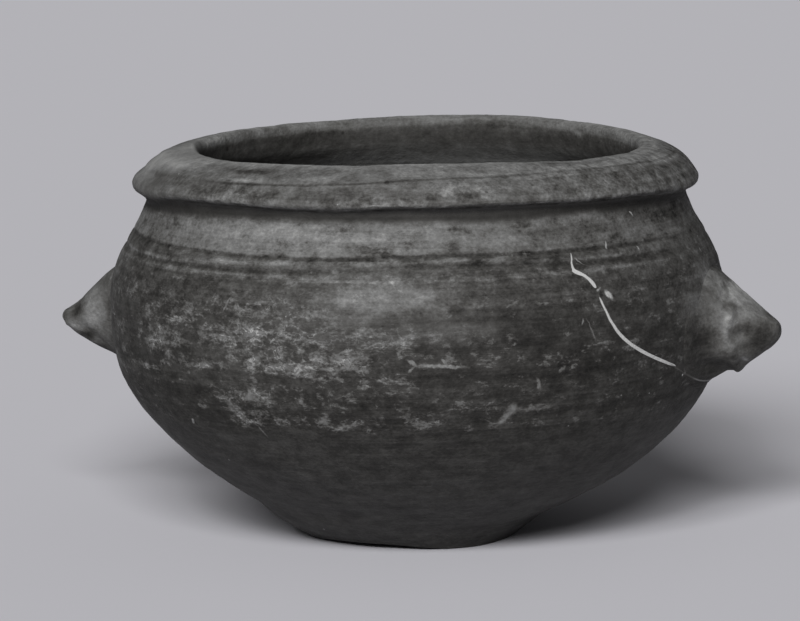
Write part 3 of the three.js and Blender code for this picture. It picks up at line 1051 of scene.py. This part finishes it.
# Lugs: tone, and ovals on it (distance out from the axis, height, half length, half width, tilt, change).
# Some dark ovals are painted shade: at the right tip's end face, in the undercut under the root, and along
# the undersides and roots
lugToneAndShade = {
    "base": {"right": 0.385, "left": 0.34},
    "right": [
        (124.6, 100, 5, 4.4, -40, 0.26), (130.5, 95.8, 7, 3.2, -42, 0.2),
        (122.6, 100.6, 5.4, 0.9, -58, -0.2), (120, 99, 6, 3.2, 80, 0.06), (136, 91, 4, 2.6, -45, 0.1),
        (126.8, 93.2, 4, 1.7, -22, -0.15), (125.6, 86, 8, 2.6, 84, 0.17), (126.2, 89.4, 1.7, 1.3, 0, 0.12),
        (128.8, 84.1, 2.7, 2.2, 0, -0.17), (132.2, 83.2, 3.4, 2, 90, -0.15), (139.5, 81.5, 8, 7, 70, -0.2),
        (134.8, 82, 9, 7.5, 60, -0.11), (130.7, 72.6, 1.2, 1, 0, 0.25), (121.5, 69, 5.6, 4.4, 20, -0.2),
        (118.2, 95.6, 4.6, 1.5, 84, -0.1), (118.6, 84.5, 8, 3, 90, -0.13), (117, 72.4, 6, 5, 0, -0.06),
        (134.4, 74.5, 6, 3, 40, -0.07), (132.6, 86.2, 4.2, 3.4, 0, -0.08), (119, 103.4, 5, 3, -40, 0.1),
        (115.6, 95, 8, 2.2, 90, 0.04),
    ],
    "left": [
        (126.9, 86.6, 8.5, 6, 90, 0.18), (136.8, 85.5, 4, 3.2, 0, -0.2), (143.2, 83.4, 3.4, 2.2, 90, -0.05),
        (137.8, 80, 2.8, 1.1, 28, 0.16), (131.4, 76.8, 6, 2.8, -28, -0.2),
        (124.8, 72.4, 6.4, 3.6, -24, -0.2), (119.8, 90, 12, 1.1, 90, -0.08), (121, 100.6, 1.6, 1.4, 0, 0.2),
        (131, 93, 5, 3, -40, 0.04),
    ],
    "smear": 0.34,
    "mottle": 0.34,
    "grain": 0.13,
    "growth": 1.25,
    "strength": 0.85,
    "rootHeight": 86,
    "rootReach": 27.5,  # half breadth and half height of the root, where the lug's clay meets the wall's
    "rootRise": 23.5,
}


def lugClay(side):
    material, start, shader = newMaterial(side + " lug clay")
    place, azimuth, height, flat = surfaceOf(start)
    wallPart, warp, streak, mottle, grain = wallGround(place, azimuth, height, flat)
    face = start.vector(X=place.part("X").size() * 1000, Y=height) + warp * (5, 5, 0)
    smear = pattern(place, "smear")
    tone = blend(lugToneAndShade, smear=smear, mottle=mottle, grain=grain) + lugToneAndShade["base"][side]
    growth = lugToneAndShade["growth"]
    # Painted shade among these: the dark ovals at the tip, under and at the root, and along the underside
    for x, z, halfLength, halfWidth, tilt, change in lugToneAndShade[side]:
        here = oval(face, x, z, halfLength * growth, halfWidth * growth, tilt)
        tone = tone + here * (change * lugToneAndShade["strength"])
    fromRoot = place * (0, 1000 / lugToneAndShade["rootReach"], 1000 / lugToneAndShade["rootRise"])
    away = (fromRoot - (0, 0, lugToneAndShade["rootHeight"] / lugToneAndShade["rootRise"]) + warp * 0.6).reach()
    tone = wallPart.over(tone, away.ease(0.95, 0.5))
    if side == "right":
        tone = drawTail(tone, azimuth, height)
    own = skin["lug"]
    relief = blend(own, smear=smear, mottle=mottle, grain=grain)
    roughness = own["roughness"] + mottle * own["uneven"]
    return finishClay(material, start, shader, tone, roughness, relief, own["depth"])


wallMaterial = wallClay()
rimMaterial = rimClay()
lugMaterials = {side: lugClay(side) for side in ("right", "left")}
print("clays mixed")

disc = {"edge": 1.5, "centre": 1.0, "underRows": 22, "topRows": 24, "topRelief": 0.5}


# Rows across a level face, from radius to radius
def levelRun(radii, height, facing, relief, inner):
    nil = 0 * radii
    return np.column_stack([radii, nil + height, nil, nil + facing, nil + relief, nil + inner, nil])


def discProfile():
    outer, inner = float(outerRadius(0)) - disc["edge"], float(outerRadius(floorTop)) - disc["edge"]
    under = np.append(0, np.linspace(disc["centre"], outer, disc["underRows"]))
    top = np.append(np.linspace(inner, disc["centre"], disc["topRows"]), 0)
    bare = disc["topRelief"] * (top < float(innerRadius(floorTop)))
    return np.vstack([levelRun(under, 0, -1, 0, 0), wallRun(0, floorTop, wall["outsideStep"]),
                      levelRun(top, floorTop, 1, bare, 1)])


# Rim, in millimetres: its section from the neck's outer edge up and over to its inner edge, and the first
# part as it is at the front, cut back under a crisp edge. Then by azimuth: how far the front section holds,
# how far the mouth's edge moves out, the whole rim sags, its crest lifts and its cheek moves out. The bands
# say where along the section the mouth, the cheek and the crest are.
rim = {
    "section": [
        (104.7, 133.9), (105.35, 135), (106.4, 136), (107.6, 136.9), (108.8, 137.7), (109.65, 138.75),
        (109.8, 140), (109.2, 141.5), (108.1, 143.15), (106.65, 144.9), (105.05, 146.7), (103.4, 148.1),
        (101.7, 149.2),
    ],
    "front": [
        (104.1, 134.8), (103.7, 137), (103.9, 138.8), (105.2, 139.9), (107.6, 140.3), (109, 140.7),
        (109.7, 141.5), (109.5, 142.6), (108.7, 143.8), (107.2, 145.3), (105.4, 146.8), (103.6, 148.1),
        (101.8, 149.2),
    ],
    "top": [
        (99.6, 150.3), (96.8, 151.4), (94, 152.4), (91.4, 153.05), (89.3, 153.4), (87.7, 153.3),
        (86.5, 152.5), (85.8, 150.9), (85.7, 148.6), (86.1, 145.2), (86.9, 142.6), (88.6, 140.3),
        (91.6, 137.6), (94.4, 135.4), (96.6, 133.6),
    ],
    "frontShare": [
        (-200, 0), (-150, 0), (-143, 0.08), (-128, 0.75), (-112, 0.82), (-100, 0.72), (-92, 0.65),
        (-82, 0.86), (-70, 0.97), (-58, 1), (-42, 0.84), (-32, 0.76), (-20, 0.6), (-6, 0.05), (0, 0),
        (160, 0),
    ],
    "mouth": [
        (-200, -1.6), (-150, -1.3), (-115, -0.4), (-60, 0), (0, 0.5), (60, 0.3), (110, -0.5), (160, -1.6),
    ],
    "sag": [
        (-200, 0.1), (-170, 0), (-120, 0), (-75, -0.1), (-35, -0.7), (0, -1.5), (30, -1.2), (55, 0.1),
        (85, 1.2), (105, 1), (130, 0.25), (160, 0.1),
    ],
    "sagOver": 8.0,
    "lift": [
        (-200, 0), (-150, -0.3), (-132, -0.6), (-112, 0), (-90, 0.2), (-78, 1), (-56, 1), (-42, 0.2),
        (-30, -0.5), (-12, -0.4), (10, 0), (160, 0),
    ],
    "cheek": [(-200, -1.5), (-160, -1.5), (-140, -1.1), (-115, -0.2), (-95, 0), (130, 0), (160, -1.5)],
    "mouthBand": (13, 18, 23, 28),
    "cheekBand": (8, 10.5, 12.5, 16),
    "crestBand": (14, 17, 19.5, 22),
    "innerFrom": (17.5, 20.5),
    "calmEnds": 3.0,
    "step": 0.8,
    "strength": 0.8,
    "grit": 0.3,
}


def rimRows(face):
    neckOutside, neckInside = (float(radius(neckHeight)) for radius in (outerRadius, innerRadius))
    return np.array([(neckOutside, neckHeight), *rim[face], *rim["top"], (neckInside, neckHeight)])


def rimProfile():
    section = rimRows("section")
    length = np.concatenate([[0], np.cumsum(np.hypot(*np.diff(section, axis=0).T))])
    at = np.linspace(0, length[-1], int(length[-1] / rim["step"]) + 1)
    r, z, order = (smoothAt(at, length, column) for column in (*section.T, np.arange(len(section))))
    dr, dz = np.gradient(r), np.gradient(z)
    size = np.hypot(dr, dz)
    relief = between(at, (0, rim["calmEnds"], length[-1] - rim["calmEnds"], length[-1]))
    inner = smoothStep(*rim["innerFrom"], order)
    run = np.column_stack([r, z, dz / size, -dr / size, relief, inner, order])
    return np.vstack([run, jointRun(run[-1], run[0], 3), run[:1]])


# Bends the evenly turned rim to its front section and mouth, and gives it its sag
def bendRim(points, order):
    azimuth = azimuthOf(points)
    by = {key: smoothThrough(rim[key])(azimuth) for key in ("frontShare", "mouth", "cheek", "lift", "sag")}
    change = rimRows("front") - rimRows("section")
    out, up = (smoothAt(order, np.arange(len(change)), column) * by["frontShare"] for column in change.T)
    out += by["mouth"] * between(order, rim["mouthBand"]) + by["cheek"] * between(order, rim["cheekBand"])
    up += by["lift"] * between(order, rim["crestBand"])
    up += by["sag"] * smoothStep(neckHeight, neckHeight + rim["sagOver"], points[:, 2] / mm)
    points[:, :2] *= (1 + out / radiusOf(points))[:, None]
    points[:, 2] += up * mm
    return points


# Chips out of the rim: azimuth, place along the section, half width in degrees and in section points, depth
chips = [
    (-36, 5.6, 3, 1.1, 0.9), (-79, 5.4, 3.6, 0.9, 0.7), (-74, 5.2, 1.6, 0.8, 0.6), (-88, 5.4, 2, 0.8, 0.5),
    (-112, 5.6, 2.4, 0.9, 0.6), (-58, 5.2, 2, 0.8, 0.5), (-94, 5, 1.2, 0.8, 0.5), (-70, 5, 1.2, 0.8, 0.6),
    (-64, 5.3, 1.6, 0.9, 0.7), (-50, 5.2, 2.4, 0.8, 0.5), (-28, 5.6, 1.6, 0.9, 0.5),
    (-122, 5.4, 1.8, 0.8, 0.5), (-66, 8.6, 2, 1.2, 0.5), (-62, 8.4, 1.6, 1, 0.5),
    (-117, 13.2, 4.2, 1.4, 0.6), (-109, 12.4, 2.6, 1, 0.45), (-98, 11.8, 2, 0.8, 0.3),
    (35, 6.4, 2.6, 1.2, 0.8), (78, 14, 3, 1.5, 0.7), (101, 7, 3.4, 1.2, 0.7), (148, 9.5, 2.4, 1.5, 0.6),
    (-168, 7.4, 1.8, 1, 0.5), (120, 18.4, 1.6, 1, 0.5), (84, 18.2, 2.2, 1, 0.45), (62, 17.8, 1.6, 1, 0.4),
    (-146, 15.4, 1.6, 1, 0.3),
]


def chipRim(points, order):
    azimuth = azimuthOf(points)
    outline = [smoothThrough(list(enumerate(column))) for column in rimRows("section").T]
    dr, dz = (line(order + 0.2) - line(order - 0.2) for line in outline)
    size = np.maximum(np.hypot(dr, dz), 1e-6)
    depth = np.zeros(len(points))
    for at, place, halfTurn, halfHeight, deepest in chips:
        away = np.hypot(turnFrom(azimuth, at) / halfTurn, (order - place) / halfHeight)
        depth = np.maximum(depth, deepest * (1 - smoothStep(0.35, 1.0, away)))
    points[:, :2] *= (1 - depth * dz / size / radiusOf(points))[:, None]
    points[:, 2] += depth * dr / size * mm
    return points


# Lugs, in millimetres: x, top, underside, reach to the front, reach to the back. Touches are fingermarks and
# pits: x, height, half width, half height, tilt in degrees, and how far they push in.
lugShapes = {
    "right": {
        "side": 1,
        "stations": [
            (104, 110, 59, 38, 36.5), (110, 109.4, 59.4, 36.6, 35), (113.3, 108.7, 60.4, 35, 33.6),
            (114.5, 108.2, 61.3, 32.6, 31), (115.3, 107.7, 62.1, 30.2, 28.6),
            (116.1, 107, 62.8, 27.9, 26.2), (117.2, 106.2, 63.4, 25.3, 23.8),
            (118.8, 105.1, 64.2, 22.8, 21.5), (120.9, 103.5, 65.4, 20.6, 19.5),
            (123.2, 101.8, 66.5, 18.7, 17.8), (125.2, 99.9, 66.6, 17.2, 16.4),
            (126.7, 98.4, 65.9, 16, 15.4), (129.5, 95.9, 68.3, 14.2, 14), (133, 92.9, 71, 12.4, 12),
            (136.7, 89.8, 73.4, 10.4, 10), (139.7, 87.6, 75.8, 8.4, 8), (141.9, 85.9, 78.2, 5.8, 5.6),
            (142.9, 84.2, 80.2, 3, 3), (143.1, 82.2, 82.2, 0, 0),
        ],
        "touches": [
            (124, 100, 1.2, 5.5, 12, 1), (128.5, 92.5, 5, 1.8, 20, 0.9), (131.5, 82.5, 2.2, 2.6, 0, 1.5),
            (133.5, 77.5, 2.6, 2.4, 30, 1.1), (126.5, 88.5, 1.8, 9, 8, -1.3), (126.6, 76, 2.4, 4, 0, -0.7),
            (136, 86.5, 3, 1.6, -35, 0.4), (119.5, 69.5, 6, 3.8, 25, 2.6), (130, 70.5, 1.6, 2.6, 0, 0.8),
            (139.5, 81, 4, 4.4, 0, 0.9),
        ],
    },
    "left": {
        "side": -1,
        "stations": [
            (104, 109.6, 61, 35, 34.5), (110, 109, 61.6, 33.6, 33), (113.3, 108.5, 62.6, 32.2, 31.6),
            (114.6, 108, 63.4, 29.6, 29), (115.5, 107.5, 64.2, 27, 26.4), (116.4, 106.9, 64.9, 24.6, 24),
            (117.5, 106.2, 65.5, 22.4, 22), (119.2, 105.3, 66.2, 20.4, 20),
            (121.4, 103.9, 67.1, 18.8, 18.5), (123.6, 102.3, 68, 17.4, 17.2),
            (126.6, 99.8, 69.2, 15.8, 15.8), (130.5, 95.9, 71.1, 14, 14), (135.7, 91.1, 73.9, 11.6, 11.6),
            (139.5, 88.4, 76.3, 9.4, 9.4), (142.6, 86.3, 78.7, 6.8, 6.8), (144.6, 84.9, 80.5, 4.2, 4.2),
            (145.5, 83.7, 81.6, 2, 2), (145.8, 82.6, 82.6, 0, 0),
        ],
        "touches": [
            (137.5, 87, 3.2, 2.6, 0, 1.2), (131, 78, 4, 2, -25, 0.9), (126.5, 74.5, 3, 1.8, -20, 0.7),
            (128, 88, 6, 6, 0, -0.8), (141.5, 80.5, 2.4, 1, 30, -0.5), (134.5, 75.6, 1.5, 1.2, 0, 0.6),
        ],
    },
}
lugGrid = {"around": 160, "along": 130, "fullness": 2.2, "leastGap": 0.5, "sharpAngle": 50, "lump": 0.4,
           "lumpSize": 11.0, "bareFrom": (112, 120)}
# On the back the touches lie nearer the wall, upside down about a middle height, and are fainter
lugBack = {"nearer": 2.0, "heightSum": 168, "scatter": 2.5, "strength": 0.6}


# Presses the touches into the front of a lug, and fainter ones, turned over, into its back
def kneadLug(points, normals, shape):
    x, z = points[:, 0] * shape["side"], points[:, 2]
    push = np.zeros(len(points))
    for index, (frontX, frontZ, wide, tall, tilt, depth) in enumerate(shape["touches"]):
        backX = frontX - lugBack["nearer"]
        backZ = lugBack["heightSum"] - frontZ + (index % 3 - 1) * lugBack["scatter"]
        for face, atX, atZ, strength in ((-1, frontX, frontZ, 1.0), (1, backX, backZ, lugBack["strength"])):
            c, s = math.cos(math.radians(tilt)), math.sin(math.radians(tilt)) * face
            along = ((x - atX) * c + (z - atZ) * s) / wide
            across = ((z - atZ) * c - (x - atX) * s) / tall
            facing = smoothStep(-0.1, 0.5, normals[:, 1] * face)
            push += depth * strength * np.exp(-along ** 2 - across ** 2) * facing
    lump = np.array([noise.fractal(Vector(p / lugGrid["lumpSize"]), 1.0, 2.1, 3) for p in points])
    bare = smoothStep(*lugGrid["bareFrom"], x)
    return points - normals * ((push - lump * lugGrid["lump"]) * bare)[:, None]


def makeLug(name, shape, material):
    stations = np.array(shape["stations"], float)
    gap = np.hypot(np.diff(stations[:, 0]), np.diff(stations[:, 1:], axis=0).max(axis=1) * 0.5)
    place = np.concatenate([[0], np.cumsum(np.maximum(gap, lugGrid["leastGap"]))])
    at = np.linspace(0, place[-1], lugGrid["along"])
    x, top, under, front, back = (smoothAt(at, place, column) for column in stations.T)
    around = lugGrid["around"]
    angle = np.linspace(0, 2 * math.pi, around, endpoint=False)
    power = 2 / lugGrid["fullness"]
    wide, tall = (np.sign(way) * np.abs(way) ** power for way in (np.cos(angle), np.sin(angle)))
    reach = np.where(wide[None, :] < 0, front[:, None], back[:, None])
    height = (top + under)[:, None] / 2 + (top - under)[:, None] / 2 * tall[None, :]
    grid = np.stack([np.repeat(x[:, None], around, 1), reach * wide[None, :], height], -1)
    points = np.vstack([grid[:-1].reshape(-1, 3), grid[-1].mean(axis=0), grid[0].mean(axis=0)])
    points[:, 0] *= shape["side"]
    tip, root = len(points) - 2, len(points) - 1
    last = tip - around
    faces = []
    for i in range(around):
        j = (i + 1) % around
        for a in range(0, last, around):
            faces.append((a + i, a + j, a + around + j, a + around + i))
        faces += [(last + i, last + j, tip), (j, i, root)]
    mesh = bpy.data.meshes.new(name)
    mesh.from_pydata((points * mm).tolist(), [], faces)
    mesh.materials.append(material)
    piece = addObject(name, mesh)
    finishMesh(mesh, lugGrid["sharpAngle"])
    normals = np.zeros(len(points) * 3, np.float32)
    mesh.vertex_normals.foreach_get("vector", normals)
    movePoints(mesh, kneadLug(points, normals.reshape(-1, 3).astype(float), shape) * mm)
    finishMesh(mesh, lugGrid["sharpAngle"])
    return piece


wallProfile = ringProfile(floorTop, shoulderFoot, wall["outsideStep"])
bandProfile = ringProfile(shoulderFoot, neckHeight, wall["shoulderStep"])
baseFloor = turn("base_floor", discProfile(), turning, wallMaterial)
lowerWall = turn("turned_wall", wallProfile, turning, wallMaterial)
shoulderBand = turn("shoulder_band", bandProfile, turning, wallMaterial)
rolledRim = turn("rolled_rim", rimProfile(), turning, rimMaterial, rim["strength"], rim["grit"])
for piece in (baseFloor, lowerWall, shoulderBand, rolledRim):
    points = pointsOf(piece.data)
    if piece is rolledRim:
        order = shareOf(piece.data, "section")
        points = chipRim(bendRim(points, order), order)
    if piece in (baseFloor, lowerWall):
        points = wearFoot(points)
    if piece in (lowerWall, shoulderBand):
        points = cutGrooves(points, 1 - shareOf(piece.data, "inner"))
    movePoints(piece.data, settle(points))
    finishMesh(piece.data)
    print("turned", piece.name, len(piece.data.polygons))
rightLug = makeLug("lug_clay_right", lugShapes["right"], lugMaterials["right"])
leftLug = makeLug("lug_clay_left", lugShapes["left"], lugMaterials["left"])
print("lugs shaped")

dressed = [
    (baseFloor, "floor_disc", "base_clay"),
    (lowerWall, "lower_wall", "body_clay"),
    (shoulderBand, "shoulder_wall", "shoulder_clay"),
    (rolledRim, "rim_collar", "rim_clay"),
    (rightLug, "lug_right", "lug_clay"),
    (leftLug, "lug_left", "lug_clay"),
]
for piece, node, slot in dressed:
    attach(piece, "root")
    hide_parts(node)
